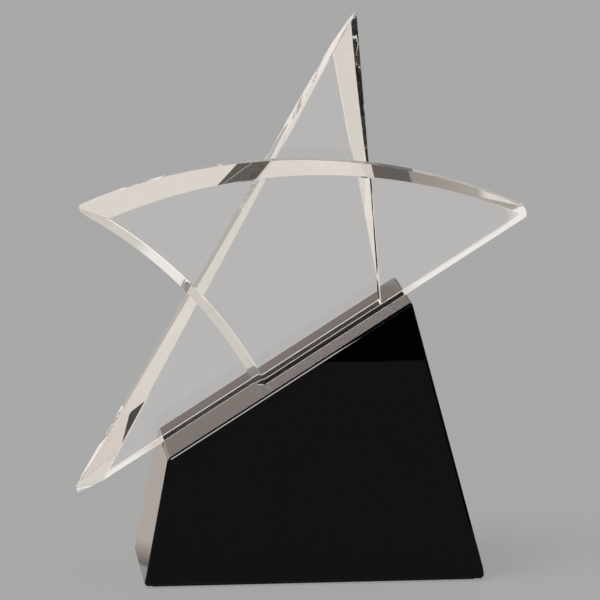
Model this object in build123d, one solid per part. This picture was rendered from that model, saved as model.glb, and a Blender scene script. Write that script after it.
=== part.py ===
from build123d import *

import math
import os

os.makedirs("parts", exist_ok=True)

# Crystal star award. A tall clear spire and a clear wing, two thick crystal plates,
# are bonded face to face and stand on the slanted top of a black crystal block.
#
# Millimetres. Origin on the table, under the middle of the block. +X is to the
# viewer's right, +Y away from the viewer, +Z up. Outlines are drawn in X and Z.

# ---------------------------------------------------------------- black block
block_width = 153.0            # along X, at the foot
block_depth = 70.0             # along Y
block_left_height = 58.1       # foot to the low end of the slanted top
block_left_lean = 10.5         # degrees that the left end leans in
block_right_lean = 15.0        # degrees that the right end leans in
block_right_land = 3.6         # upright strip at the foot of the right end
top_slope = 32.4               # degrees, rising to the right
block_bevel = 1.1              # polished bevel on every edge of the block

# ----------------------------------------------------------------- felt pad
pad_thickness = 1.0
pad_inset = 4.0                # pad edge to block edge, all round

# -------------------------------------------------------- clear crystal plates
wing_thickness = 16.0
spire_thickness = 16.0
bond_thickness = 0.1           # clear adhesive between any two pieces
arris = 0.3                    # polished bevel round the plates' front and back faces

# The joint between the two plates is over the middle of the block, at Y = 0.
# A plate is cut square to its outline, then sloping facets are ground along its long
# edges. The strip of square edge left beside a facet is its land. A facet's tilt is
# the angle in degrees between the facet and the land.
# The plates' X and Z below are counted from the low end of the block's slanted top.
#
# Spire. Its front face ends at the left facet and at the square right edge, its back
# face at the square left edge and at the right facet. An apex is where the two lines
# of one face would meet, and their angles are from +X.
spire_front_apex = (87.8, 196.4)
spire_front_left_angle = 61.7
spire_front_right_angle = 94.7
spire_back_apex = (77.9, 178.0)
spire_back_left_angle = 59.85
spire_back_right_angle = 100.6
spire_left_tilt = 41.0
spire_right_tilt = 50.0
spire_twist_length = 78.0      # top stretch of the right land, which twists
spire_twist_angle = 99.0       # angle of its back line
spire_toe_radius = 0.9         # low left point
spire_heel_radius = 1.0        # where the right edge meets the block

# Wing: left tip, then the X of its two corners on the slanted line of the seat,
# then how far the crown arc and the hollow arc bulge from their chords.
wing_tip = (-38.8, 108.6)
wing_heel_x = 41.8
wing_nose_x = 166.0
wing_crown = 22.2
wing_hollow = 8.6
wing_tip_radius = 1.6
wing_nose_radius = 2.5
wing_heel_radius = 4.0
# The same for the smaller outline where the wing's facets meet its front face.
wing_face_tip = (-24.5, 105.4)
wing_face_heel_x = 45.7
wing_face_nose_x = 163.0
wing_face_crown = 19.2
wing_face_hollow = 6.7
wing_crown_tilt = 31.5
wing_hollow_tilt = 35.0

# ------------------------------------------------------------- derived places
block_foot = pad_thickness
low_end_x = -block_width / 2 + block_left_height * math.tan(math.radians(block_left_lean))
low_end_z = block_foot + block_left_height
slope = math.tan(math.radians(top_slope))
bond_rise = bond_thickness / math.cos(math.radians(top_slope))
spire_front_y = bond_thickness / 2
spire_back_y = spire_front_y + spire_thickness
wing_back_y = -bond_thickness / 2
wing_front_y = wing_back_y - wing_thickness


def on_seat(x):
    """The point at x on the line of the plates' lower edges, one bond above the block.

    x is counted from the low end of the block's slanted top.
    """
    return low_end_x + x, low_end_z + x * slope + bond_rise


def from_low_end(point):
    """A point of the plates, moved to the low end of the block's slanted top."""
    return low_end_x + point[0], low_end_z + point[1]


def meet(point, angle, other, other_angle):
    """Where two lines cross, each given by a point and an angle in degrees."""
    a, b = math.radians(angle), math.radians(other_angle)
    dx, dz = other[0] - point[0], other[1] - point[1]
    along = (dx * math.sin(b) - dz * math.cos(b)) / math.sin(b - a)
    return point[0] + along * math.cos(a), point[1] + along * math.sin(a)


def bulge(start, end, rise):
    """Middle point of an arc that bulges by rise to the left of start to end."""
    dx, dz = end[0] - start[0], end[1] - start[1]
    chord = math.hypot(dx, dz)
    return ((start[0] + end[0]) / 2 - dz / chord * rise,
            (start[1] + end[1]) / 2 + dx / chord * rise)


def at_y(point, y):
    return Vector(point[0], y, point[1])


def rounded(outline, radii):
    """The outline with its corners rounded, one radius for each edge's start."""
    face = Face(outline)
    corners = [edge @ 0 for edge in outline.edges()]
    for corner, radius in zip(corners, radii):
        if radius > 0:
            vertex = min(face.vertices(), key=lambda v: (Vector(*v) - corner).length)
            face = face.fillet_2d(radius, [vertex])
    return face.outer_wire()


def facet_plane(apex, angle, y, side, face, tilt):
    """Plane of a facet that meets the face at y along a line, looking outward.

    side is +1 for a right edge and -1 for a left one, face is +1 at the back.
    """
    angle, tilt = math.radians(angle), math.radians(tilt)
    outward = Vector(side * math.sin(angle), 0, -side * math.cos(angle))
    normal = outward * math.cos(tilt) + Vector(0, face * math.sin(tilt), 0)
    return Plane(at_y(apex, y), z_dir=normal)


def bevelled(plate):
    """The plate with a narrow polished bevel round its front and back faces."""
    rims = [edge for face in plate.faces() if abs(face.normal_at(face.center()).Y) > 0.99
            for edge in face.edges()]
    return plate.chamfer(arris, None, rims)


def make_spire():
    """Body with square edges and a twisted strip at the top right, then two facets."""
    front_apex, back_apex = from_low_end(spire_front_apex), from_low_end(spire_back_apex)
    left_angle, right_angle = spire_back_left_angle, spire_front_right_angle
    toe = meet(back_apex, left_angle, on_seat(0), top_slope)
    heel = meet(front_apex, right_angle, on_seat(0), top_slope)
    top = meet(back_apex, left_angle, front_apex, right_angle)
    down = math.radians(right_angle)
    twist = (top[0] - spire_twist_length * math.cos(down),
             top[1] - spire_twist_length * math.sin(down))
    twisted_top = meet(back_apex, left_angle, twist, spire_twist_angle)
    radii = (spire_toe_radius, spire_heel_radius, 0, 0)
    sections = []
    for corner, y in ((top, spire_front_y), (twisted_top, spire_back_y)):
        outline = Wire.make_polygon([at_y(p, y) for p in (toe, heel, twist, corner)])
        sections.append(rounded(outline, radii))
    body = Solid.make_loft(sections, ruled=True)
    left_facet = facet_plane(front_apex, spire_front_left_angle, spire_front_y,
                             -1, -1, spire_left_tilt)
    right_facet = facet_plane(back_apex, spire_back_right_angle, spire_back_y,
                              1, 1, spire_right_tilt)
    body = split(body, left_facet, keep=Keep.BOTTOM).solid()
    body = split(body, right_facet, keep=Keep.BOTTOM).solid()
    return bevelled(body)


def wing_corners(tip, heel_x, nose_x, crown, hollow):
    """Heel, nose, middle of the crown arc, tip, middle of the hollow arc."""
    heel, nose, tip = on_seat(heel_x), on_seat(nose_x), from_low_end(tip)
    return heel, nose, bulge(nose, tip, -crown), tip, bulge(tip, heel, hollow)


def facet_cone(start, middle, end, tilt):
    """Cone through an arc at the wing's front face, opening toward the back by tilt.

    A negative tilt makes it close toward the back.
    """
    arc = Edge.make_three_point_arc(*(at_y(p, wing_front_y) for p in (start, middle, end)))
    depth = 1.5 * wing_thickness
    growth = depth * math.tan(math.radians(tilt))
    axis = Plane(arc.arc_center, z_dir=(0, 1, 0))
    return Solid.make_cone(arc.radius, arc.radius + growth, depth, axis)


def make_wing():
    """Body with square edges, then a facet along the crown and one along the hollow."""
    corners = wing_corners(wing_tip, wing_heel_x, wing_nose_x, wing_crown, wing_hollow)
    heel, nose, crown_mid, tip, hollow_mid = (at_y(p, wing_front_y) for p in corners)
    outline = Wire([Edge.make_line(heel, nose),
                    Edge.make_three_point_arc(nose, crown_mid, tip),
                    Edge.make_three_point_arc(tip, hollow_mid, heel)])
    face = Face(rounded(outline, (wing_heel_radius, wing_nose_radius, wing_tip_radius)))
    body = Solid.extrude(face, Vector(0, wing_thickness, 0))
    heel, nose, crown_mid, tip, hollow_mid = wing_corners(
        wing_face_tip, wing_face_heel_x, wing_face_nose_x, wing_face_crown, wing_face_hollow)
    body = body.intersect(facet_cone(nose, crown_mid, tip, wing_crown_tilt)).solid()
    body = body.cut(facet_cone(tip, hollow_mid, heel, -wing_hollow_tilt)).solid()
    return bevelled(body)


def make_block():
    """Black block: a flat outline with leaning ends, carried through its depth."""
    foot, half = block_foot, block_width / 2
    land = (half, foot + block_right_land)
    low_end = (low_end_x, low_end_z)
    high_end = meet(land, 90 + block_right_lean, low_end, top_slope)
    outline = [(-half, foot), (half, foot), land, high_end, low_end]
    front = Face(Wire.make_polygon([at_y(p, -block_depth / 2) for p in outline]))
    block = Solid.extrude(front, Vector(0, block_depth, 0))
    return block.chamfer(block_bevel, None, block.edges())


def make_pad():
    """Self-adhesive felt pad under the block."""
    pad = Solid.make_box(block_width - 2 * pad_inset, block_depth - 2 * pad_inset, pad_thickness)
    return pad.translate(Vector(pad_inset - block_width / 2, pad_inset - block_depth / 2, 0))


def face_towards(solid, direction):
    """The flat face of a solid that looks most nearly in a direction."""
    return max(solid.faces(), key=lambda f: f.normal_at(f.center()).dot(direction) * f.area)


def bond_between(lower, upper, direction):
    """Adhesive film that fills the gap where two flat faces look at each other."""
    carrier = face_towards(lower, direction)
    reach = 2 * bond_thickness
    film = Solid.extrude(carrier, direction * bond_thickness)
    shadow = Solid.extrude(face_towards(upper, -direction), -direction * reach)
    return film.intersect(shadow).solid()


block = make_block()
pad = make_pad()
spire = make_spire()
wing = make_wing()
up_from_seat = Vector(-math.sin(math.radians(top_slope)), 0, math.cos(math.radians(top_slope)))

nodes = {
    "base_block": block,
    "base_felt_pad": pad,
    "spire_plate": spire,
    "wing_plate": wing,
    "plate_joint_bond": bond_between(wing, spire, Vector(0, 1, 0)),
    "spire_foot_bond": bond_between(block, spire, up_from_seat),
    "wing_foot_bond": bond_between(block, wing, up_from_seat),
}

for name, shape in nodes.items():
    export_step(shape, f"parts/{name}.step")
    box = shape.bounding_box()
    print(f"{name}: {shape.volume:.1f} mm3, {box.size.X:.1f} x {box.size.Y:.1f} x {box.size.Z:.1f}")
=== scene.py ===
# %% [markdown]
# # A crystal star award
# Two thick plates of clear crystal, a spire and a wing, are bonded face to face and stand on
# a block of black crystal. The construction comes from the CAD frame and stays as it is.
# This lesson gives it its looks: how clear crystal, bonded joints and black crystal are made
# as materials, and how a small studio is lit so that glass has something to show.

# %% Load the frame
import math

import bpy
from mathutils.geometry import convex_hull_2d
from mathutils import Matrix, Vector


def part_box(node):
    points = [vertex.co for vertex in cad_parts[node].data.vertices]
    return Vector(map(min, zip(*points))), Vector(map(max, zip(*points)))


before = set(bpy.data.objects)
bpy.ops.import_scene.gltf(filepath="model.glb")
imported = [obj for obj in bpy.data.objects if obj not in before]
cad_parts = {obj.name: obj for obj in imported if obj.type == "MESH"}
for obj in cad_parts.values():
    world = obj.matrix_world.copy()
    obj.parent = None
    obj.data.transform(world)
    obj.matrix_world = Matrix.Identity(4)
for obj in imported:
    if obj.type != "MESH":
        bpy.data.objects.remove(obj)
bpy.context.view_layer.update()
MM = 0.001
print("pieces:", sorted(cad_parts))

# %% [markdown]
# ## The camera
# Glass is judged by what it bends, so the camera comes first. It looks slightly down at the
# award from a little left of its front, with a long lens, which keeps the plates' edges
# nearly parallel.

# %% Camera
VIEW_AZIMUTH = -5.587      # degrees, negative is left of the front
VIEW_ELEVATION = 10.636    # degrees above the table
VIEW_DISTANCE = 2.191      # metres
VIEW_TARGET = Vector((-0.00325, 0.0, 0.1235))
VIEW_END = 50              # metres, and nothing shows beyond it
SENSOR = 36.0              # mm
LENS = 291.8               # mm


def view_direction(azimuth, elevation):
    """Unit vector from the target towards a camera at these angles."""
    turn, lift = math.radians(azimuth), math.radians(elevation)
    flat = math.cos(lift)
    return Vector((math.sin(turn) * flat, -math.cos(turn) * flat, math.sin(lift)))


camera_data = bpy.data.cameras.new("view")
camera = bpy.data.objects.new("view", camera_data)
bpy.context.scene.collection.objects.link(camera)
towards_camera = view_direction(VIEW_AZIMUTH, VIEW_ELEVATION)
camera.location = VIEW_TARGET + VIEW_DISTANCE * towards_camera
camera.rotation_euler = (-towards_camera).to_track_quat("-Z", "Y").to_euler()
camera_data.sensor_width = SENSOR
camera_data.lens = LENS
camera_data.clip_end = VIEW_END
bpy.context.scene.camera = camera
bpy.context.scene.view_settings.view_transform = "Standard"
print("camera at", [round(c, 4) for c in camera.location])

# %% [markdown]
# ## Shader maths
# A material is a network of small nodes. The class here wraps one output, so that maths on it
# reads like maths. Every node comes from one function, which takes its kind, its settings and
# then the values or links of its inputs.


# %% A small language for shaders
class Out:
    """One output of a node, with the usual operators."""

    def __init__(self, tree, socket):
        self.tree, self.socket = tree, socket

    def math(self, operation, *others):
        n = add_node(self.tree, "Math", {"operation": operation})
        for place, value in enumerate((self, *others)):
            plug(self.tree, n.inputs[place], value)
        return Out(self.tree, n.outputs[0])

    def __add__(self, other): return self.math("ADD", other)
    def __radd__(self, other): return self.math("ADD", other)
    def __mul__(self, other): return self.math("MULTIPLY", other)
    def __rmul__(self, other): return self.math("MULTIPLY", other)
    def __sub__(self, other): return self.math("SUBTRACT", other)
    def __rsub__(self, other): return (self * -1.0) + other
    def __truediv__(self, other): return self.math("DIVIDE", other)
    def __lt__(self, other): return self.math("LESS_THAN", other)
    def __gt__(self, other): return self.math("GREATER_THAN", other)


def plug(tree, socket, value):
    """Links an Out to a socket, or sets the socket to a plain value."""
    if isinstance(value, Out):
        tree.links.new(value.socket, socket)
    else:
        socket.default_value = value


def add_node(tree, kind, settings=None, **inputs):
    """A node of a kind, with its settings, then its inputs by name. Returns the node."""
    n = tree.nodes.new("ShaderNode" + kind)
    for key, value in (settings or {}).items():
        setattr(n, key, value)
    for key, value in inputs.items():
        plug(tree, n.inputs[key.replace("_", " ")], value)
    return n


def out(n, name=0):
    return Out(n.id_data, n.outputs[name])


print("shader maths ready")

# %% [markdown]
# ## Masks and mixes
# A mask is 1 where something is and 0 elsewhere. Most of them here come from where a point lies,
# through an edge: a place, and how soft the change is there. Masks then choose between two
# colours, or between two shaders. The same few helpers serve every material.


# %% Masks
def step(value, edge, soft):
    """0 below the edge and 1 above it, with a soft change as wide as soft."""
    return ((value - edge) / soft + 0.5).math("MAXIMUM", 0.0).math("MINIMUM", 1.0)


def fall(value, edge, soft):
    """1 below the edge and 0 above it, with the same soft change."""
    return step(edge - value, 0.0, soft)


def strip(value, middle, half_width, soft):
    """1 in a strip about its middle, else 0."""
    return step(half_width - (value - middle).math("ABSOLUTE"), 0.0, soft)


def between(value, low, high):
    """1 between two values, else 0, with sharp edges."""
    return (value > low) * (value < high)


print("masks ready")


# %% Mixes and places
def blend(tree, factor, below, above):
    """Colour that goes from below to above as the factor goes from 0 to 1."""
    n = add_node(tree, "Mix", {"data_type": "RGBA"})
    sockets = [s for s in n.inputs if s.type == "RGBA"]
    plug(tree, n.inputs[0], factor)
    for socket, value in zip(sockets, (below, above)):
        plug(tree, socket, value if isinstance(value, Out) else (*value, 1.0))
    return Out(tree, next(s for s in n.outputs if s.type == "RGBA"))


def join(tree, kind, first, second, **inputs):
    """Two shaders in a Mix Shader or an Add Shader."""
    n = add_node(tree, kind, **inputs)
    ends = [s for s in n.inputs if s.type == "SHADER"]
    for end, shader in zip(ends, (first, second)):
        tree.links.new(shader.outputs[0], end)
    return n


def new_material(name):
    """Empty material. Returns it, its tree and its output node."""
    material = bpy.data.materials.new(name)
    material.use_nodes = True
    material.node_tree.nodes.clear()
    return material, material.node_tree, add_node(material.node_tree, "OutputMaterial")


def ray_kinds(tree, *kinds):
    """For each kind of ray, 1 where such a ray asks, else 0."""
    rays = add_node(tree, "LightPath")
    return [out(rays, f"Is {kind} Ray") for kind in kinds]


def coordinates(tree, kind="Object"):
    """The three coordinates of a surface point in metres, or of a direction in the world."""
    place = add_node(tree, "TexCoord")
    parts = add_node(tree, "SeparateXYZ", Vector=out(place, kind))
    return out(parts, 0), out(parts, 1), out(parts, 2)


def noise(tree, scale, detail=2.0, roughness=0.5):
    """Soft noise from 0 to 1 on the piece's own coordinates, scale per metre."""
    place = add_node(tree, "TexCoord")
    n = add_node(tree, "TexNoise", Vector=out(place, "Object"),
                 Scale=scale, Detail=detail, Roughness=roughness)
    return out(n, 0)


print("mixes and places ready")

# %% [markdown]
# ## The studio floor
# Glass has no colour of its own, so what lies round it is half of its look. Real cards could
# stand on a real sheet, but then they would also show beside the award. So the floor is one wide
# plane, and its material answers each kind of ray on its own. The camera sees an even grey, while
# crystal and polished faces see a lit sheet with cards on it. Three quarters of the floor's light
# is its own and the rest is lamp light, so the award still casts its shadow.

# %% The lit sheet
# Places on the floor are metres from the middle of the block's foot. x goes to the right and
# y to the back.
NEAR_SHEET = (0.710, 0.643, 0.594)        # warm sheet just behind the award,
SHEET = (0.808, 0.750, 0.696)             # lighter further back
SHEET_NEAR_EDGE = (0.13, 0.07)            # y
SHEET_LEFT_EDGE = (-0.22, 0.06)           # x
FAR_SHEET = (0.85, 0.79, 0.73)            # and lightest nearest the room's wall
FAR_SHEET_EDGE = (0.50, 0.12)             # y


def lit_sheet(tree, x, y):
    """Colour of the bare sheet, as crystal sees it."""
    further = step(y, *SHEET_NEAR_EDGE) * step(x, *SHEET_LEFT_EDGE)
    sheet = blend(tree, further, NEAR_SHEET, SHEET)
    return blend(tree, step(y, *FAR_SHEET_EDGE), sheet, FAR_SHEET)


print("lighter sheet from", SHEET_NEAR_EDGE[0], "and", FAR_SHEET_EDGE[0], "m behind the block")

# %% The small card, painted shade
# Painted shade: a dark card that only rays through crystal see, standing in for the black block
# and its half shadow behind the award.
SHADE_CARD_X = (0.0405, 0.09)             # its left and right edges
SHADE_CARD_Y = (0.150, 0.187)             # its near and far edges
SHADED_CARD_END = (0.106, 0.093, 0.086)        # painted shade, black at its left end,
DEEPEST_SHADE_CORNER = (0.062, 0.054, 0.049)      # and blackest at one corner,
DEEPEST_SHADE_X = 0.0467                   # right of here
DEEPEST_SHADE_Y = 0.1686                   # and nearer than here
HALF_SHADE_CARD = (0.305, 0.274, 0.249)        # then a brown half shade,
HALF_SHADE_FROM = (0.0495, 0.0006)             # x
PALER_HALF_SHADE = (0.425, 0.386, 0.352)        # paler towards its right,
PALER_HALF_SHADE_FROM = (0.057, 0.018)               # x
RIGHT_END_SHADE = (0.41, 0.370, 0.338)          # a little darker at its right end
RIGHT_END_SHADE_FROM = (0.0675, 0.0008)              # x
SHADE_GAP = (0.78, 0.735, 0.69)               # and no painted shade at its far side
SHADE_GAP_X_FROM = (0.0662, 0.0020)
SHADE_GAP_Y_FROM = (0.1662, 0.0005)


def shade_card(tree, x, y):
    """Painted shade all over the small card, from its black end to its right end."""
    in_corner = (x > DEEPEST_SHADE_X) * (y < DEEPEST_SHADE_Y)
    shaded_end = blend(tree, in_corner, SHADED_CARD_END, DEEPEST_SHADE_CORNER)
    # the brown is painted half shade
    brown = blend(tree, step(x, *PALER_HALF_SHADE_FROM), HALF_SHADE_CARD, PALER_HALF_SHADE)
    brown = blend(tree, step(x, *RIGHT_END_SHADE_FROM), brown, RIGHT_END_SHADE)
    brown = blend(tree, step(x, *SHADE_GAP_X_FROM) * step(y, *SHADE_GAP_Y_FROM), brown, SHADE_GAP)
    return blend(tree, step(x, *HALF_SHADE_FROM), shaded_end, brown)


sides = [round((high - low) / MM, 1) for low, high in (SHADE_CARD_X, SHADE_CARD_Y)]
print("small card in mm", sides)

# %% The long card, and all that crystal sees
GREY_CARD = (0.526, 0.519, 0.514)         # a long grey card that runs to the back
GREY_CARD_LEAN = 0.098                    # and leans to the right, so far for each metre
GREY_CARD_STRIP = (-0.01, 0.145, 0.01)    # its middle, half its width, and how soft its sides are
GREY_CARD_SLANT = 1.03                    # its near end is cut at a slant
GREY_CARD_FROM = (0.255, 0.012)           # y, where x is 0
FIBRES = (1300.0, 210.0)                  # fine and coarse fibres in the paper, per metre,
FIBRE_SHARES = (0.6, 0.4)                 # how much each counts
FIBRE_SHADE = 0.12                        # and how far they darken it
PURE_BLACK = (0.0, 0.0, 0.0)


def floor_through_crystal(tree, x, y):
    """Colour of the floor for light that has come through crystal."""
    long_card = (strip(x - y * GREY_CARD_LEAN, *GREY_CARD_STRIP)
                 * step(y - x * GREY_CARD_SLANT, *GREY_CARD_FROM))
    on_shade_card = between(x, *SHADE_CARD_X) * between(y, *SHADE_CARD_Y)
    colour = blend(tree, on_shade_card, lit_sheet(tree, x, y), shade_card(tree, x, y))
    colour = blend(tree, long_card, colour, GREY_CARD)
    fine, coarse = (noise(tree, scale) * share for scale, share in zip(FIBRES, FIBRE_SHARES))
    return blend(tree, (fine + coarse) * FIBRE_SHADE, colour, PURE_BLACK)


print("long card", round(2 * GREY_CARD_STRIP[1], 2), "m wide")

# %% All that polished faces mirror on the floor
CLOSE_SHADOW_GLOSS = (0.52, 0.47, 0.44)          # beside the block, darker: painted shadow of the block
EDGE_SHADOW_GLOSS = (0.26, 0.23, 0.215)          # a darker edge beside the block's back half, painted shadow too
EDGE_SHADOW_FROM = (0.014, 0.008)          # y, as are the other edges here
FLOOR_GLOSS = (0.74, 0.665, 0.615)        # the sheet behind the award,
FLOOR_GLOSS_FROM = (0.045, 0.050)
FAR_GLOSS = (1.0, 0.95, 0.89)             # which rises to its brightest far behind
FAR_GLOSS_FROM = (1.0, 0.3)
FRONT_GLOSS = (0.16, 0.155, 0.157)        # dark paper in front
FRONT_GLOSS_UP_TO = (-0.02, 0.02)
DARK_UP_TO = (-0.538, 0.006)              # and nothing lit in front of that


def mirrored_floor(tree, y):
    """Colour of the floor for light that a polished face has mirrored, with the block's shadow
    painted on it.
    """
    gloss = blend(tree, step(y, *EDGE_SHADOW_FROM), CLOSE_SHADOW_GLOSS, EDGE_SHADOW_GLOSS)
    gloss = blend(tree, step(y, *FLOOR_GLOSS_FROM), gloss, FLOOR_GLOSS)
    gloss = blend(tree, step(y, *FAR_GLOSS_FROM), gloss, FAR_GLOSS)
    gloss = blend(tree, fall(y, *FRONT_GLOSS_UP_TO), gloss, FRONT_GLOSS)
    return blend(tree, fall(y, *DARK_UP_TO), gloss, PURE_BLACK)


print("dark paper", round(FRONT_GLOSS_UP_TO[0] - DARK_UP_TO[0], 3), "m deep")

# %% The floor
FLOOR_SIZE = 16            # metres
OWN_LIGHT = 0.75           # the share of the floor's light that is its own
BACKDROP = (0.395, 0.395, 0.395)          # the even grey that the camera sees

bpy.ops.object.select_all(action="DESELECT")
bpy.ops.mesh.primitive_plane_add(size=FLOOR_SIZE)
floor = bpy.context.object
floor.name = "floor"
paper, tree, surface = new_material("studio_paper")
mirrored, bent = ray_kinds(tree, "Glossy", "Transmission")
x, y, _ = coordinates(tree)
colour = blend(tree, mirrored, BACKDROP, mirrored_floor(tree, y))
colour = blend(tree, bent, colour, floor_through_crystal(tree, x, y))
own = add_node(tree, "Emission", Color=colour, Strength=OWN_LIGHT)
lamplit = add_node(tree, "BsdfDiffuse", Color=blend(tree, 1.0 - OWN_LIGHT, PURE_BLACK, colour))
both = join(tree, "AddShader", own, lamplit)
tree.links.new(both.outputs[0], surface.inputs[0])
paper.cycles.emission_sampling = "NONE"
floor.data.materials.append(paper)
print("floor", [round(c, 2) for c in floor.dimensions])

# %% [markdown]
# ## The room and its lamp
# The room is a large tent of pale cloth, drawn as the world's colour, because nothing in it is
# near enough to shift. Its diffuse light is even. Polished faces mirror its bright back wall,
# with two cards on it, and dark cloth at its front and sides. Crystal sees warm walls. One wide
# lamp, high on the left and a little to the front, gives the shadow.

# %% The walls that polished faces mirror
# A direction from the award is its parts to the east, to the north and up. East is right.
WALL_GLOSS = (1.0, 0.95, 0.89)            # the back wall
BACK_WALL_FROM = (0.45, 0.3)              # north
WALL_CARD = (0.66, 0.553, 0.514)          # a brown-grey card on it, low on the left
WALL_CARD_EAST = (-0.1410, 0.0265, 0.004)
WALL_CARD_UP = (0.17, 0.04, 0.01)
RIGHT_CARD = (0.34, 0.33, 0.32)           # and a grey one, low on the right
RIGHT_CARD_FROM = (0.145, 0.02)           # east
RIGHT_CARD_UP_TO = (0.16, 0.03)           # up
FLAG_GLOSS = (0.03, 0.03, 0.03)           # black cloth at the front, and low at the sides
LEFT_GLOSS = (0.24, 0.23, 0.22)           # grey cloth above it on the left
RIGHT_GLOSS = (0.50, 0.47, 0.44)          # and paler cloth on the right
LEFT_TO_RIGHT = (0.0, 0.5)                # east
SIDE_CLOTH_FROM = (0.82, 0.16)            # east or west
SIDE_CLOTH_ABOVE = (0.24, 0.30)           # up


def mirrored_walls(tree, east, north, up, card):
    """Colour of the tent for light that a polished face has mirrored."""
    side_cloth = step(east.math("ABSOLUTE"), *SIDE_CLOTH_FROM) * step(up, *SIDE_CLOTH_ABOVE)
    sides = blend(tree, step(east, *LEFT_TO_RIGHT), LEFT_GLOSS, RIGHT_GLOSS)
    sides = blend(tree, side_cloth, FLAG_GLOSS, sides)
    right_card = step(east, *RIGHT_CARD_FROM) * fall(up, *RIGHT_CARD_UP_TO)
    back = blend(tree, card, WALL_GLOSS, WALL_CARD)
    back = blend(tree, right_card, back, RIGHT_CARD)
    return blend(tree, step(north, *BACK_WALL_FROM), sides, back)


print("brown-grey card seen over", WALL_CARD_EAST[1] * 2, "across and", WALL_CARD_UP[1] * 2, "up")

# %% The walls that crystal sees
LOW_THROUGH = (0.89, 0.86, 0.82)          # low on the left
LEFT_THROUGH = (0.69, 0.64, 0.59)         # and higher on the left
LEFT_UP_TO = (-0.05, 0.05)                # east
HIGH_FROM = (0.36, 0.10)                  # up
CARD_THROUGH = (0.71, 0.61, 0.565)        # the brown-grey card
RIGHT_THROUGH = (0.62, 0.575, 0.535)      # on the right,
RIGHT_FROM = (0.32, 0.10)                 # east
RIGHT_STRIPE = (0.86, 0.815, 0.77)        # where there is a brighter stripe
RIGHT_STRIPE_EAST = (0.468, 0.030, 0.02)


def walls_through_crystal(tree, east, up, card):
    """Colour of the tent for light that has come through crystal."""
    past_left = step(east, *LEFT_UP_TO)
    wall = blend(tree, past_left, LOW_THROUGH, WALL_GLOSS)
    wall = blend(tree, step(up, *HIGH_FROM) * (1.0 - past_left), wall, LEFT_THROUGH)
    wall = blend(tree, card, wall, CARD_THROUGH)
    right = blend(tree, strip(east, *RIGHT_STRIPE_EAST), RIGHT_THROUGH, RIGHT_STRIPE)
    return blend(tree, step(east, *RIGHT_FROM), wall, right)


print("right wall from", RIGHT_FROM[0], "east")

# %% The tent
TENT = (0.5, 0.5, 0.5)     # its even diffuse light

room = bpy.data.worlds.new("tent")
bpy.context.scene.world = room
room.use_nodes = True
tree = room.node_tree
tree.nodes.clear()
seen, mirrored, bent = ray_kinds(tree, "Camera", "Glossy", "Transmission")
east, north, up = coordinates(tree, "Generated")
card = strip(east, *WALL_CARD_EAST) * strip(up, *WALL_CARD_UP)
colour = blend(tree, seen, TENT, BACKDROP)
colour = blend(tree, mirrored, colour, mirrored_walls(tree, east, north, up, card))
colour = blend(tree, bent, colour, walls_through_crystal(tree, east, up, card))
light = add_node(tree, "Background", Color=colour)
tree.links.new(light.outputs[0], add_node(tree, "OutputWorld").inputs[0])
print("tent made of", len(tree.nodes), "nodes")

# %% The lamp
KEY_STRENGTH = 2.0
KEY_COLOUR = (1.0, 0.97, 0.935)
KEY_ANGLE = 30.0                          # degrees that the lamp's face fills
KEY_FROM = Vector((-0.54, -0.25, 0.80))   # the way to the lamp

key_data = bpy.data.lights.new("key", "SUN")
key_data.energy = KEY_STRENGTH
key_data.angle = math.radians(KEY_ANGLE)
key_data.color = KEY_COLOUR
key = bpy.data.objects.new("key", key_data)
bpy.context.scene.collection.objects.link(key)
key.rotation_euler = (-KEY_FROM).to_track_quat("-Z", "Y").to_euler()
key.visible_transmission = False
print("key lamp", key_data.energy, "W/m2")

# %% How far light is followed
# Inside a facetted plate light turns many times before it comes out.
MOST_TURNS = 32
MOST_GLOSSY_TURNS = 16
MOST_CLEAR_FACES = 64

cycles = bpy.context.scene.cycles
cycles.transparent_max_bounces = MOST_CLEAR_FACES
cycles.max_bounces = MOST_TURNS
cycles.transmission_bounces = MOST_TURNS
cycles.glossy_bounces = MOST_GLOSSY_TURNS
print("light is followed for", cycles.max_bounces, "turns")

# %% [markdown]
# ## Where crystal touches
# Bonded crystal has no visible surface left: light goes straight from one plate into the other,
# and at the foot straight into the black block. So the materials need to know where the plates
# touch. The joint is the overlap of the spire's front face and the wing's back face, found here
# from the pieces' own points: three straight sides of the spire and two arcs of the wing.

# %% Points, corners and circles
TOUCH = 0.0001             # metres, as thick as a bond


def face_points(node, y):
    """Points of a piece's mesh that lie in the plane y, as (x, z)."""
    corners = [v.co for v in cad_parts[node].data.vertices]
    return sorted({(round(c.x, 6), round(c.z, 6)) for c in corners if abs(c.y - y) < TOUCH / 10})


def outer_corners(points):
    """Those points that lie on the outline's convex hull, in order."""
    vectors = [Vector(p) for p in points]
    return [vectors[i] for i in convex_hull_2d(vectors)]


def circle_through(a, b, c):
    """Centre and radius of the circle through three points."""
    (ax, ay), (bx, by), (cx, cy) = a, b, c
    d = 2 * (ax * (by - cy) + bx * (cy - ay) + cx * (ay - by))
    aa, bb, cc = ax * ax + ay * ay, bx * bx + by * by, cx * cx + cy * cy
    ux = (aa * (by - cy) + bb * (cy - ay) + cc * (ay - by)) / d
    uy = (aa * (cx - bx) + bb * (ax - cx) + cc * (bx - ax)) / d
    return ux, uy, math.hypot(ax - ux, ay - uy)


def arc_of(points, shares):
    """The circle of an arc, from three of its points, each a share of the way along."""
    return circle_through(*(points[int(share * len(points))] for share in shares))


print("a plate's face counts as touching within", TOUCH / MM, "mm")

# %% Outlines of the joined faces
CROWN_FROM = 0.13                         # metres up, above which the wing's hull is its crown
CROWN_SHARES = (0.2, 0.5, 0.8)
HOLLOW_SHARES = (0.2, 0.5, 0.75)

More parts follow.
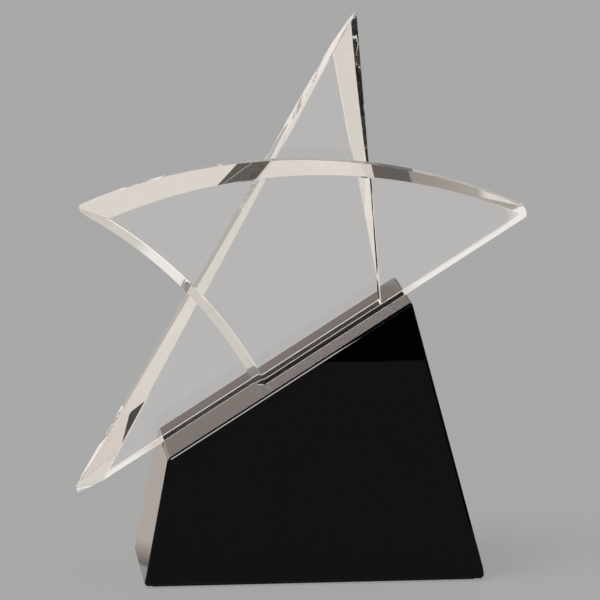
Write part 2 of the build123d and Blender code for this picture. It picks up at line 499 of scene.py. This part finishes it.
spire_corners = outer_corners(face_points("spire_plate", TOUCH / 2))
spire_sides = sorted(((spire_corners[i - 1], p) for i, p in enumerate(spire_corners)),
                     key=lambda side: (side[1] - side[0]).length)[-3:]
wing_points = face_points("wing_plate", -TOUCH / 2)
wing_corners = outer_corners(wing_points)
crown = arc_of(sorted(tuple(p) for p in wing_corners if p.y > CROWN_FROM), CROWN_SHARES)
on_hull = {(round(p.x, 6), round(p.y, 6)) for p in wing_corners}
hollow = arc_of([p for p in wing_points if p not in on_hull], HOLLOW_SHARES)
print("spire sides", [round((b - a).length, 4) for a, b in spire_sides])
print("crown", [round(c, 4) for c in crown], "hollow", [round(c, 4) for c in hollow])

# %% Masks for the joints
SEAT_SLOPE = math.radians(32.4)           # slant of the block's top
INSIDE_JOINT = Vector((0.0, 0.15))        # (x, z) of a point well inside the joint
seat_normal = Vector((-math.sin(SEAT_SLOPE), 0, math.cos(SEAT_SLOPE)))
foot_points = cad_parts["spire_foot_bond"].data.vertices
foot_height = max(v.co.dot(seat_normal) for v in foot_points)


def beside(x, z, side):
    """Signed distance from a straight side, positive towards the joint."""
    a, b = side
    normal = Vector((a.y - b.y, b.x - a.x)).normalized()
    if (INSIDE_JOINT - a).dot(normal) < 0:
        normal = -normal
    return x * normal.x + z * normal.y - a.dot(normal)


def from_centre(x, z, circle):
    """Distance from a circle's centre."""
    dx, dz = x - circle[0], z - circle[1]
    return (dx * dx + dz * dz).math("SQRT")


def from_seat(x, z):
    """Distance from the plane that the plates stand on."""
    return (x * seat_normal.x + z * seat_normal.z - foot_height).math("ABSOLUTE")


def over_foot(x, y, bond):
    """1 over the footprint of a plate, found from its bond's box."""
    low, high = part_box(bond)
    return between(x, low.x, high.x) * between(y, low.y - TOUCH, high.y + TOUCH)


def over_feet(x, y):
    """1 over the footprints of both plates."""
    spire, wing = (over_foot(x, y, bond) for bond in ("spire_foot_bond", "wing_foot_bond"))
    return spire.math("MAXIMUM", wing)


def joined(tree):
    """1 where a plate's surface is bonded, to the other plate or to the block."""
    x, y, z = coordinates(tree)
    face = y.math("ABSOLUTE") < TOUCH
    for side in spire_sides:
        face = face * (beside(x, z, side) > 0.0)
    face = face * (from_centre(x, z, crown) < crown[2]) * (from_centre(x, z, hollow) > hollow[2])
    return face.math("MAXIMUM", (from_seat(x, z) < TOUCH) * over_feet(x, y))


print("seat height", round(foot_height, 5))

# %% [markdown]
# ## Clear crystal
# Optical crystal is glass with nothing in it, so its look is all refraction, and what makes it
# real is small: grains of dust, faint wiping marks and a polish that isn't perfectly flat. Where
# it is bonded the shader turns transparent, and lamps shine through it by the same switch,
# because light bent by glass is slow to compute.

# %% Dust and bumps
EMPTY_CELLS = 0.72         # share of the lattice's cells that hold no grain


def specks(tree, scale, size):
    """1 in small round grains on a loose lattice, else 0. The scale is cells per metre, and
    the size is a grain's radius as a part of a cell."""
    place = add_node(tree, "TexCoord")
    n = add_node(tree, "TexVoronoi", Vector=out(place, "Object"), Scale=scale)
    chosen = add_node(tree, "SeparateColor", Color=out(n, "Color"))
    return (out(n, "Distance") < size) * (out(chosen, 0) > EMPTY_CELLS)


def bump(tree, height, strength, distance):
    """Normal from a height that varies over the surface."""
    return out(add_node(tree, "Bump", Strength=strength, Distance=distance, Height=height))


print("grains in", round(1 - EMPTY_CELLS, 2), "of the cells")

# %% Clear crystal
CRYSTAL = (0.985, 0.988, 0.984)
CRYSTAL_IOR = 1.5
SHADOW_PASS = 0.9                         # how freely lamps shine through
DUST_ON_CRYSTAL = (330.0, 0.060)          # cells per metre, and a grain's radius in them
DUSTY_CRYSTAL = (0.90, 0.89, 0.87)        # crystal under a grain,
DUSTY_ROUGHNESS = 0.25
DUST = (0.62, 0.60, 0.57, 1.0)            # and the grain itself,
DUST_COVER = 0.22                         # which hides that much of it
WIPING = (45.0, 3.0)                      # marks per metre, and their detail
WIPING_FROM = (0.66, 0.12)                # only where the noise is high
WIPING_ROUGHNESS = 0.004
POLISH = (60.0, 2.0)                      # low waves per metre, and their detail
POLISH_STRENGTH = 0.01
POLISH_DEPTH = 0.0001                     # metres

crystal, tree, surface = new_material("clear_crystal")
dust = specks(tree, *DUST_ON_CRYSTAL)
wiping = step(noise(tree, *WIPING), *WIPING_FROM)
polished = add_node(tree, "BsdfPrincipled", Base_Color=blend(tree, dust, CRYSTAL, DUSTY_CRYSTAL),
                    Roughness=dust * DUSTY_ROUGHNESS + wiping * WIPING_ROUGHNESS,
                    IOR=CRYSTAL_IOR, Transmission_Weight=1.0,
                    Normal=bump(tree, noise(tree, *POLISH), POLISH_STRENGTH, POLISH_DEPTH))
grain = add_node(tree, "BsdfDiffuse", Color=DUST)
glass = join(tree, "MixShader", polished, grain, Fac=dust * DUST_COVER)
lamp_ray, = ray_kinds(tree, "Shadow")
open_way = joined(tree).math("MAXIMUM", lamp_ray * SHADOW_PASS)
switch = join(tree, "MixShader", glass, add_node(tree, "BsdfTransparent"), Fac=open_way)
tree.links.new(switch.outputs[0], surface.inputs[0])
print("clear crystal, refractive index", CRYSTAL_IOR)

# %% [markdown]
# ## Black crystal
# The block is black right through, so it shows only what its polish mirrors, and each fault in
# that polish: dust, film, tiny scratches and an edge that was ground twice. The second grinding
# is too fine for the block's shape, so it is a bump. Under the plates' feet nothing is mirrored
# at all. There the bond lets light reach the black body itself, a dull dark grey. It is painted
# lighter under the spire's foot than under the wing's: painted light and shade on one body.

# %% Faults on the polish
BLACK = (0.0004, 0.0004, 0.0004)
FILMED_BLACK = (0.0011, 0.0010, 0.0010)
FILM = (22.0, 4.0)                        # patches per metre, and their detail
FILM_ROUGHNESS = 0.01
DUSTED_BLACK = (0.030, 0.028, 0.026)
DUST_ON_BLACK = (420.0, 0.07)             # cells per metre, and a grain's radius in them
DUST_ROUGHNESS = 0.4
SCRATCHES = (30.0, 900.0, 900.0)          # per metre, long one way and close together across it
SCRATCH_TURN = (0.0, 0.5, 0.0)            # radians
SCRATCH_FROM = (0.74, 0.04)               # only where the noise is high
SCRATCH_ROUGHNESS = 0.06


def scratches(tree):
    """1 in fine straight scratches that lie one way, else 0."""
    place = add_node(tree, "TexCoord")
    turned = add_node(tree, "Mapping", Vector=out(place, "Object"),
                      Scale=SCRATCHES, Rotation=SCRATCH_TURN)
    n = add_node(tree, "TexNoise", Vector=out(turned), Scale=1.0, Detail=1.0)
    return step(out(n, 0), *SCRATCH_FROM)


print("scratches", SCRATCHES[1], "to the metre")

# %% The twice-ground edge
BLOCK_BEVEL = 1.1 * MM     # ground along the block's edges
LOWER_SHARE = 0.40         # of it is the lower facet, on the left,
LOWER_UP_TO = (0.015, 0.012)              # and none on the right of this x
UPPER_SLOPE = 0.35         # how far the upper facet is tilted
WAVES = 40.0               # low waves in the polish, per metre
WAVE_DEPTH = 0.00001       # metres


def block_relief(tree, x, y):
    """Height, in metres, of the waves and of the upper facet of the front edge."""
    front_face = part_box("base_block")[0].y
    lower = (1.0 - step(x, *LOWER_UP_TO)) * (LOWER_SHARE * BLOCK_BEVEL)
    upper = (y - front_face - lower).math("MAXIMUM", 0.0).math("MINIMUM", BLOCK_BEVEL - lower)
    return noise(tree, WAVES) * WAVE_DEPTH + upper * UPPER_SLOPE


print("lower facet", round(LOWER_SHARE * BLOCK_BEVEL / MM, 2), "mm")

# %% Black crystal
BLACK_IOR = 1.5
# Painted light and shade: one black body, painted lighter under the spire's foot and darker under
# the wing's.
SPIRE_FOOT_LIT = (0.055, 0.050, 0.047)
WING_FOOT_SHADED = (0.020, 0.0185, 0.0175)
FOOT_EDGE = (0.0003, 0.0001)              # metres from the seat at which a foot's grey ends
FOOT_GRAIN = 900.0                        # grains per metre in that grey,
FOOT_SHADES = (0.75, 0.5)                 # its darkest shade, and how much lighter it gets

black, tree, surface = new_material("black_crystal")
x, y, z = coordinates(tree)
film = noise(tree, *FILM)
dust = specks(tree, *DUST_ON_BLACK)
body = blend(tree, dust, blend(tree, film, BLACK, FILMED_BLACK), DUSTED_BLACK)
roughness = film * FILM_ROUGHNESS + dust * DUST_ROUGHNESS + scratches(tree) * SCRATCH_ROUGHNESS
polish = add_node(tree, "BsdfPrincipled", Base_Color=body, Roughness=roughness, IOR=BLACK_IOR,
                  Normal=bump(tree, block_relief(tree, x, y), 1.0, 1.0))
# painted light and shade: lighter under the spire's foot, darker under the wing's
foot = blend(tree, y > 0.0, WING_FOOT_SHADED, SPIRE_FOOT_LIT)
shades = noise(tree, FOOT_GRAIN) * FOOT_SHADES[1] + FOOT_SHADES[0]
dull = add_node(tree, "BsdfPrincipled", Base_Color=blend(tree, shades, PURE_BLACK, foot),
                Roughness=1.0, Specular_IOR_Level=0.0)
off_seat = step(from_seat(x, z), *FOOT_EDGE)
shade = join(tree, "MixShader", polish, dull, Fac=over_feet(x, y) * (1.0 - off_seat))
tree.links.new(shade.outputs[0], surface.inputs[0])
print("black crystal, refractive index", BLACK_IOR)

# %% [markdown]
# ## Felt and adhesive
# The pad under the block is pressed felt, a mat of short fibres with no shine. The bonds are
# clear adhesive a tenth of a millimetre thick: they can't be seen but for a few trapped bubbles.

# %% Felt
FELT_SHADE_DEEP = (0.006, 0.006, 0.006)         # painted shade, down between the fibres
FELT_TOP = (0.045, 0.043, 0.042)          # and on top of them
FELT_FIBRES = (1400.0, 3.0, 0.7)          # per metre, their detail and how rough that is
FELT_TUFTS = (160.0, 2.0)                 # per metre, and their detail
FELT_SHARES = (0.7, 0.3)                  # how much fibres and tufts count in the colour
FELT_ROUGHNESS = (0.9, 0.1)               # at its least, and how much more on top
FELT_SHEEN = 0.3
TUFT_HEIGHT = 0.6                         # against a fibre's
FELT_STRENGTH = 0.8
FELT_DEPTH = 0.0004                       # metres

felt, tree, surface = new_material("black_felt")
fibres = noise(tree, *FELT_FIBRES)
tufts = noise(tree, *FELT_TUFTS)
# The felt's own varied tone follows the bump's noise, painted darker where the fibres lie low:
# painted shade between them.
mat = blend(tree, fibres * FELT_SHARES[0] + tufts * FELT_SHARES[1], FELT_SHADE_DEEP, FELT_TOP)
nap = bump(tree, fibres + tufts * TUFT_HEIGHT, FELT_STRENGTH, FELT_DEPTH)
pressed = add_node(tree, "BsdfPrincipled", Base_Color=mat, Sheen_Weight=FELT_SHEEN, Normal=nap,
                   Roughness=FELT_ROUGHNESS[0] + fibres * FELT_ROUGHNESS[1])
tree.links.new(pressed.outputs[0], surface.inputs[0])
print("felt fibres", FELT_FIBRES[0], "to the metre")

# %% Clear adhesive
BUBBLES = (90.0, 0.035)                   # cells per metre, and a bubble's radius in them
BUBBLE_SKIN = (0.9, 0.9, 0.9, 1.0)
BUBBLE_ROUGHNESS = 0.25
BUBBLE_COVER = 0.12                       # how much of what is behind it a bubble hides

adhesive, tree, surface = new_material("clear_adhesive")
clear = add_node(tree, "BsdfTransparent")
skin = add_node(tree, "BsdfPrincipled", Base_Color=BUBBLE_SKIN, Roughness=BUBBLE_ROUGHNESS)
shade = join(tree, "MixShader", clear, skin, Fac=specks(tree, *BUBBLES) * BUBBLE_COVER)
tree.links.new(shade.outputs[0], surface.inputs[0])
print("bubbles", round(2 * BUBBLES[1] / BUBBLES[0] / MM, 2), "mm across")

# %% [markdown]
# ## Giving each piece its finish
# The CAD pieces keep their shape, and only what is in their material slots changes.

# %% Finishes
FINISHES = {
    "spire_plate": crystal,
    "wing_plate": crystal,
    "base_block": black,
    "base_felt_pad": felt,
    "plate_joint_bond": adhesive,
    "spire_foot_bond": adhesive,
    "wing_foot_bond": adhesive,
}
for node, finish in FINISHES.items():
    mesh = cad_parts[node].data
    mesh.materials.clear()
    mesh.materials.append(finish)
    print(f"{node:18s} {finish.name}")
